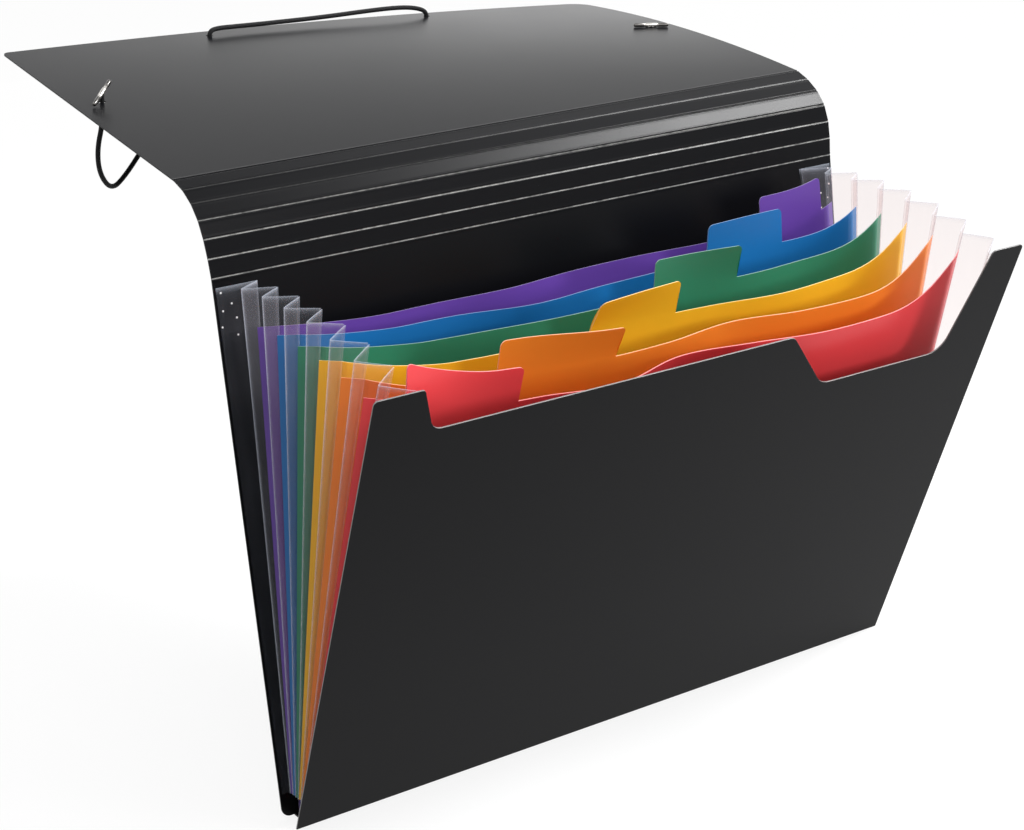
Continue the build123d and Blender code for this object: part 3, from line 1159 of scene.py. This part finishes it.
weld_strips = [make_weld_strip(side, body) for body in WELD_LAYERS for side in SIDES]
print("film margins", [piece.name for piece in weld_strips])

# %% [markdown]
# ## Weld dots: the tree
# The film is spot welded to the cover, and near the top the welds show as a zigzag of small white dots.
# The dots repeat, so Geometry Nodes place one flattened bead on every point of a line. A seeded random
# shift keeps the row from looking ruled.

# %% Tree of the weld dots
WELD_SOCKETS = {
    "Count": "NodeSocketInt",
    "Pitch": "NodeSocketFloat",
    "Zigzag": "NodeSocketFloat",
    "Stray": "NodeSocketFloat",
    "Seed": "NodeSocketInt",
    "Radius": "NodeSocketFloat",
    "Height Share": "NodeSocketFloat",
    "Finish": "NodeSocketMaterial",
}
BEAD_SEGMENTS = 12
BEAD_RINGS = 6


def vector_of(tree, **parts):
    return add_node(tree, "ShaderNodeCombineXYZ", parts).outputs[0]


def stage_of(tree, kind, **inputs):
    """First output of one Geometry Nodes step."""
    return add_node(tree, f"GeometryNode{kind}", inputs).outputs[0]


def stray_of(tree, reach, seed):
    """A random shift in the plane, up to a reach both ways."""
    back = maths(tree, "MULTIPLY", reach, -1.0)
    ends = {0: vector_of(tree, X=back, Y=back), 1: vector_of(tree, X=reach, Y=reach), "Seed": seed}
    return add_node(tree, "FunctionNodeRandomValue", ends, data_type="FLOAT_VECTOR").outputs[0]


def weld_tree():
    """Beads in a zigzag down a line, with named inputs for their sizes."""
    tree = bpy.data.node_groups.new("weld dots", "GeometryNodeTree")
    for name, kind in WELD_SOCKETS.items():
        tree.interface.new_socket(name, in_out="INPUT", socket_type=kind)
    tree.interface.new_socket("Geometry", in_out="OUTPUT", socket_type="NodeSocketGeometry")
    given = add_node(tree, "NodeGroupInput").outputs
    down = vector_of(tree, Y=maths(tree, "MULTIPLY", given["Pitch"], -1.0))
    line = stage_of(tree, "MeshLine", Count=given["Count"], Offset=down)
    odd = maths(tree, "MODULO", stage_of(tree, "InputIndex"), 2.0)
    aside = vector_of(tree, X=maths(tree, "MULTIPLY", odd, given["Zigzag"]))
    zigzag = stage_of(tree, "SetPosition", Geometry=line, Offset=aside)
    stray = stray_of(tree, given["Stray"], given["Seed"])
    points = stage_of(tree, "SetPosition", Geometry=zigzag, Offset=stray)
    radius = given["Radius"]
    ball = stage_of(tree, "MeshUVSphere", Segments=BEAD_SEGMENTS, Rings=BEAD_RINGS, Radius=radius)
    flat = vector_of(tree, X=1.0, Y=1.0, Z=given["Height Share"])
    bead = stage_of(tree, "Transform", Geometry=ball, Scale=flat)
    beads = stage_of(tree, "InstanceOnPoints", Points=points, Instance=bead)
    real = stage_of(tree, "RealizeInstances", Geometry=beads)
    done = stage_of(tree, "SetMaterial", Geometry=real, Material=given["Finish"])
    add_node(tree, "NodeGroupOutput", {"Geometry": done})
    return tree


dots_tree = weld_tree()
print("weld dots tree with", len(dots_tree.nodes), "nodes")

# %% [markdown]
# ## Weld dots: the pieces
# A weld is a small white spot where the film has melted, half clear still. The tree runs on an empty
# mesh for each film margin, and the result is turned into a plain mesh and moved to its place near the
# margin's top.

# %% Weld dots
WELD_COUNT = 6
WELD_PITCH = 3.5 * MM
WELD_ZIGZAG = 5.5 * MM
WELD_RADIUS = 0.44 * MM
WELD_STRAY = 0.9 * MM
WELD_SEED = 4
WELD_HEIGHT_SHARE = 0.28
WELD_TOP = 228.0 * MM
WELD_SIDE_INSET = 2.6 * MM
WELD_WHITE = (0.88, 0.89, 0.90, 1)
WELD_ROUGHNESS = (0.3, 0.55)
WELD_CLOUD_SCALE = 900.0


def weld_finish():
    finish, tree = new_finish("weld white")
    cloud = noise(tree, place(tree), WELD_CLOUD_SCALE)
    rough = spread(tree, cloud, *WELD_ROUGHNESS)
    show(tree, surface(tree, {"Base Color": WELD_WHITE, "Roughness": rough, "Alpha": 0.6}))
    return finish


def make_welds(side, body, finish):
    index, bottom = WELD_LAYERS[body]
    piece = add_piece(f"welds_{side}_{body}", bpy.data.meshes.new("welds"))
    dots = piece.modifiers.new("dots", "NODES")
    dots.node_group = dots_tree
    sizes = (WELD_COUNT, WELD_PITCH, -SIDES[side] * WELD_ZIGZAG, WELD_STRAY, WELD_SEED, WELD_RADIUS,
             WELD_HEIGHT_SHARE, finish)
    values = dict(zip(WELD_SOCKETS, sizes))
    for item in dots_tree.interface.items_tree:
        if item.in_out == "INPUT":
            dots[item.identifier] = values[item.name]
    applied(piece)
    face = bottom + FILM_THICKNESS if body == "back" else bottom
    start = Vector((SIDES[side] * (half_width - WELD_SIDE_INSET), WELD_TOP, face))
    piece.data.transform(panels[index] @ Matrix.Translation(start))
    return settle(piece, body, "gusset_film")


weld_white = weld_finish()
weld_dots = [make_welds(side, body, weld_white) for body in WELD_LAYERS for side in SIDES]
print("weld dots", [len(piece.data.polygons) for piece in weld_dots])

# %% [markdown]
# ## Smooth lines and tubes
# A cord is a tube along a smooth line. A NURBS spline of order three turns a few given points into
# such a line. The tube is built ring by ring, because a ring can then have a radius of its own and the
# UV map can count the braid's pitches along the cord.

# %% Smooth lines and tubes
ROUTE_STEPS = 10
ROUTE_ORDER = 3


def spline_line(points):
    """Points along a NURBS spline through the route's control points."""
    data = bpy.data.curves.new("route", "CURVE")
    data.dimensions = "3D"
    data.resolution_u = ROUTE_STEPS
    spline = data.splines.new("NURBS")
    spline.points.add(len(points) - 1)
    for control, point in zip(spline.points, points):
        control.co = (*point, 1.0)
    spline.order_u = ROUTE_ORDER
    spline.use_endpoint_u = True
    route = add_object("route", data)
    line = [vert.co.copy() for vert in evaluated_mesh(route).vertices]
    bpy.data.objects.remove(route)
    return line


def tangents_of(line):
    """Direction of a line at each of its points."""
    pairs = zip([line[0], *line], [*line[1:], line[-1]])
    tangents = [(b - a).normalized() for a, b in pairs if (b - a).length > 0]
    return [tangents[min(i, len(tangents) - 1)] for i in range(len(line))]


def tube_rings(shape, line, radii, sides):
    """Rings of vertices round a line, turned as little as the line allows."""
    tangents = tangents_of(line)
    side = tangents[0].orthogonal().normalized()
    angles = [2 * math.pi * i / sides for i in range(sides)]
    rings = []
    for point, tangent, radius in zip(line, tangents, radii):
        side = (side - tangent * side.dot(tangent)).normalized()
        other = tangent.cross(side)
        spokes = [side * math.cos(a) + other * math.sin(a) for a in angles]
        rings.append([shape.verts.new(point + spoke * radius) for spoke in spokes])
    return rings


def tube_mesh(name, line, radii, sides):
    """A closed tube along a line, with a UV map that goes once round and counts pitches along."""
    shape = bmesh.new()
    uv = shape.loops.layers.uv.new("cord")
    rings = tube_rings(shape, line, radii, sides)
    travelled = [0.0]
    for a, b in zip(line, line[1:]):
        travelled.append(travelled[-1] + (b - a).length)
    for row in range(len(rings) - 1):
        for i in range(sides):
            j = (i + 1) % sides
            face = shape.faces.new((rings[row][i], rings[row][j], rings[row + 1][j], rings[row + 1][i]))
            corners = ((i, row), (i + 1, row), (i + 1, row + 1), (i, row + 1))
            for loop, (turn, level) in zip(face.loops, corners):
                loop[uv].uv = (turn / sides, travelled[level] / BRAID_PITCH)
    shape.faces.new(reversed(rings[0]))
    shape.faces.new(rings[-1])
    bmesh.ops.recalc_face_normals(shape, faces=shape.faces)
    return smooth_mesh(mesh_from(name, shape))


print("cords follow a spline of order", ROUTE_ORDER)

# %% [markdown]
# ## Elastic
# One round elastic closes the folder. Its middle lies in a low arch across the inside of the flap, it
# goes through a hole at each end of that run, and each end hangs in a loop under a corner before it
# comes up through the hole below its barb. The routes are the model's own points, in the flap's terms:
# millimetres across, along and out of the flap.

# %% Elastic
CORD_DIAMETER = 2.3 * MM
CORD_SIDES = 14
LOOP_ROUTE = (
    (151.5, 99.0, -1.0),
    (151.5, 99.0, -9.0),
    (154.5, 99.5, -22.0),
    (152.5, 102.0, -35.0),
    (144.5, 107.5, -45.5),
    (134.5, 114.0, -42.0),
    (119.5, 125.0, -33.0),
    (102.0, 138.5, -24.0),
    (83.0, 153.5, -15.5),
    (69.5, 165.0, -9.0),
    (62.0, 172.0, -4.5),
    (62.0, 172.0, 0.0),
)
RUN_ROUTE = (
    (-62.0, 172.0, 0.0),
    (-62.0, 172.0, 2.6),
    (-57.5, 172.8, 3.5),
    (-49.0, 173.2, 3.4),
    (-33.0, 173.2, 3.4),
    (0.0, 172.8, 4.0),
    (30.0, 173.0, 5.4),
    (47.0, 173.2, 5.7),
    (56.5, 173.0, 4.8),
    (62.0, 172.0, 2.8),
    (62.0, 172.0, 0.0),
)


def make_elastic(name, route, node):
    points = [flap_point(across * MM, along * MM, out * MM) for across, along, out in route]
    line = spline_line(points)
    radii = [CORD_DIAMETER / 2] * len(line)
    piece = add_piece(name, tube_mesh(name, line, radii, CORD_SIDES), elastic_black)
    settle(piece, "flap", "elastic_black", node)
    return piece


mirrored = tuple((-across, along, out) for across, along, out in LOOP_ROUTE)
elastics = [
    make_elastic("loop_left", mirrored, "elastic_loop_left"),
    make_elastic("run", RUN_ROUTE, "elastic_run"),
    make_elastic("loop_right", LOOP_ROUTE, "elastic_loop_right"),
]
print("elastic", [piece.name for piece in elastics])

# %% [markdown]
# ## Barbs
# A short steel bar on each end of the elastic is too long to slip back through its hole. The bar is
# crimped round the cord, so its middle is a little thicker, with a groove at each side of the crimp.
# It is a tube along a straight line with a changing radius, like a piece turned on a lathe. The left bar
# stands on one end, because the elastic is slack, and a stub of the cord shows under it.

# %% Barbs
BARB_TURNS = {"left": 40.0, "right": -25.0}
BARB_LIFTS = {"left": 20.0, "right": 0.0}
BARB_REST = 1.42 * MM
BARB_SIDES = 20
STEM_DIAMETER = 2.0 * MM
STEM_FOOT = -1.0 * MM
STEM_POINTS = 4
BARB_HALF_PROFILE = (
    (0.145, 1.06), (0.155, 1.0), (0.165, 0.86), (0.19, 0.86), (0.2, 1.0), (0.42, 1.0), (0.455, 0.96),
    (0.48, 0.84), (0.495, 0.62), (0.5, 0.35),
)
BARB_WAIST = (0.0, 1.08)

barb_profile = [(-share, radius) for share, radius in reversed(BARB_HALF_PROFILE)]
barb_profile += [BARB_WAIST, *BARB_HALF_PROFILE]


def make_barb(side):
    across, along = BARB_HOLES[side]
    turn, lift = math.radians(BARB_TURNS[side]), math.radians(BARB_LIFTS[side])
    middle = BARB_REST + BARB_LENGTH / 2 * math.sin(lift)
    line = []
    for share, radius in barb_profile:
        flat, up = (share * BARB_LENGTH * part for part in (math.cos(lift), math.sin(lift)))
        line.append(flap_point(across + flat * math.cos(turn), along + flat * math.sin(turn), middle + up))
    radii = [radius * MM for share, radius in barb_profile]
    piece = add_piece(f"steel_{side}", tube_mesh("barb", line, radii, BARB_SIDES), barb_steel)
    settle(piece, "flap", "barb_steel", f"barb_{side}")
    stem = [flap_point(across, along, out) for out in spaced(STEM_FOOT, middle, STEM_POINTS)]
    mesh = tube_mesh("stem", stem, [STEM_DIAMETER / 2] * len(stem), CORD_SIDES)
    settle(add_piece(f"stem_{side}", mesh, elastic_black), "flap", "elastic_black")
    return piece


barbs = [make_barb(side) for side in SIDES]
print("barbs", [piece.name for piece in barbs])

# %% [markdown]
# ## Floor
# The folder stands on a white floor. The camera and the gloss see it glow, nearly white far away, while
# near the folder it keeps some of its own shading, so that it still takes a soft shadow. Haze that is lit
# by bounced light renders grainy, so to bounced rays the floor is grey.

# %% Floor
FLOOR_SIZE = 9.0
FLOOR_CELLS = 8
FLOOR_WHITE = (0.86, 0.86, 0.86, 1)
FLOOR_GREY = (0.15, 0.15, 0.15, 1)
FLOOR_GLOW = (0.80, 0.97)
FLOOR_GLOW_REACH = (0.35, 1.1)
FLOOR_ROUGHNESS = (0.7, 0.8)
FLOOR_CLOUD_SCALE = 3.0
PURE_WHITE = (1, 1, 1, 1)


def seen_directly(tree):
    """One for rays of the camera, and for rays that gloss or clear film sends on."""
    rays = add_node(tree, "ShaderNodeLightPath").outputs
    seen = maths(tree, "MAXIMUM", rays["Is Camera Ray"], rays["Is Glossy Ray"])
    return maths(tree, "MAXIMUM", seen, rays["Is Transmission Ray"])


def floor_finish():
    finish, tree = new_finish("floor white")
    cloud = noise(tree, place(tree), FLOOR_CLOUD_SCALE)
    bounced = add_node(tree, "ShaderNodeLightPath").outputs["Is Diffuse Ray"]
    matt = surface(tree, {
        "Base Color": mix(tree, "RGBA", bounced, FLOOR_WHITE, FLOOR_GREY),
        "Roughness": spread(tree, cloud, *FLOOR_ROUGHNESS),
    })
    glow = add_node(tree, "ShaderNodeEmission", {"Color": PURE_WHITE, "Strength": 1.0}).outputs["Emission"]
    away = add_node(tree, "ShaderNodeVectorMath", {0: place(tree)}, operation="LENGTH").outputs["Value"]
    white = spread(tree, away, *FLOOR_GLOW, *FLOOR_GLOW_REACH)
    show(tree, mix_shaders(tree, maths(tree, "MULTIPLY", seen_directly(tree), white), matt, glow))
    return finish


def make_floor():
    shape = bmesh.new()
    bmesh.ops.create_grid(shape, x_segments=FLOOR_CELLS, y_segments=FLOOR_CELLS, size=FLOOR_SIZE / 2)
    floor = add_piece("floor", mesh_from("floor", shape), floor_finish())
    return floor


print("floor faces", len(make_floor().data.polygons))

# %% [markdown]
# ## Background
# The world is plain white to the camera, to the gloss and through the clear film, and black to bounced
# rays, because the lamps below give all the light that falls on the folder. Overhead and to the right
# it is dimmer, which leaves the near part of the flap darker than its far edge.

# %% Background
WORLD_LEAN = 0.7
WORLD_WHITE = (1.0, 0.35, 0.70, 0.90)


def make_world():
    world = bpy.data.worlds.new("studio")
    bpy.context.scene.world = world
    world.use_nodes = True
    tree = world.node_tree
    tree.nodes.clear()
    way = add_node(tree, "ShaderNodeTexCoord").outputs["Generated"]
    parts = add_node(tree, "ShaderNodeSeparateXYZ", {"Vector": way}).outputs
    lean = maths(tree, "ADD", maths(tree, "MULTIPLY", parts["X"], WORLD_LEAN), parts["Z"])
    white = spread(tree, lean, *WORLD_WHITE)
    seen = maths(tree, "MULTIPLY", seen_directly(tree), white)
    room = add_node(tree, "ShaderNodeBackground", {"Color": PURE_WHITE, "Strength": seen})
    add_node(tree, "ShaderNodeOutputWorld", {"Surface": room.outputs["Background"]})
    return world


print("world", make_world().name)

# %% [markdown]
# ## Lamps
# A tent of five large dim lamps, which the gloss doesn't see, lights the folder evenly. A few smaller
# ones draw the gloss: the key lamp makes the pale band along the bend of the spine, and the lamps above
# and behind lighten the flap. A low lamp at the front right reaches into the pockets through the thumb
# cut-out and brings up the red and orange sheets.

# %% Lamps
TENT_HALF = 2.2
TENT_HEIGHT = 2.4
TENT_WALLS = {"front": (0, -1, 0.50), "rear": (0, 1, 0.70), "left": (-1, 0, 0.72), "right": (1, 0, 1.60)}
TENT_ROOF = 0.56
LAMPS = {
    "key": ((1.15, -0.5, 1.45), (0.0, 0.0, 0.22), (0.42, 0.3), 40.0),
    "front": ((0.3, -1.4, 1.65), (0.0, -0.05, 0.2), (0.9, 0.6), 10.0),
    "low": ((0.9, -1.6, 0.42), (0.08, -0.05, 0.2), (0.5, 0.4), 14.0),
    "fill": ((-0.9, -1.3, 1.4), (0.05, -0.05, 0.2), (0.9, 0.7), 6.0),
    "top": ((-0.6, 0.1, 1.7), (0.0, -0.05, 0.2), (1.0, 0.8), 8.0),
    "over": ((1.0, 0.55, 1.7), (0.0, 0.05, 0.27), (1.2, 1.2), 6.0),
    "rear": ((0.75, 1.5, 0.75), (0.0, 0.13, 0.29), (1.6, 0.6), 3.0),
}
OUT_OF_GLOSS = ("low",)
CLEAR_LAYERS = 48


def make_lamp(name, at, aim, size, power, in_gloss=True):
    data = bpy.data.lights.new(name, "AREA")
    data.shape = "RECTANGLE"
    data.size, data.size_y = size
    data.energy = power
    lamp = add_object(name, data)
    look = (Vector(aim) - Vector(at)).to_track_quat("-Z", "Y").to_matrix().to_4x4()
    lamp.matrix_world = Matrix.Translation(at) @ look
    lamp.visible_camera = lamp.visible_glossy = lamp.visible_transmission = in_gloss


def make_tent():
    middle = (0, 0, TENT_HEIGHT / 2)
    width = 2 * TENT_HALF
    for name, (x, y, light) in TENT_WALLS.items():
        at = (x * TENT_HALF, y * TENT_HALF, TENT_HEIGHT / 2)
        power = math.pi * width * TENT_HEIGHT * light
        make_lamp(f"tent {name}", at, middle, (width, TENT_HEIGHT), power, in_gloss=False)
    power = math.pi * width * width * TENT_ROOF
    make_lamp("tent roof", (0, 0, TENT_HEIGHT), middle, (width, width), power, in_gloss=False)


make_tent()
for name, lamp in LAMPS.items():
    make_lamp(name, *lamp, in_gloss=name not in OUT_OF_GLOSS)
bpy.context.scene.view_settings.view_transform = "Standard"
bpy.context.scene.cycles.transparent_max_bounces = CLEAR_LAYERS
print("lamps", [light.name for light in bpy.data.lights])
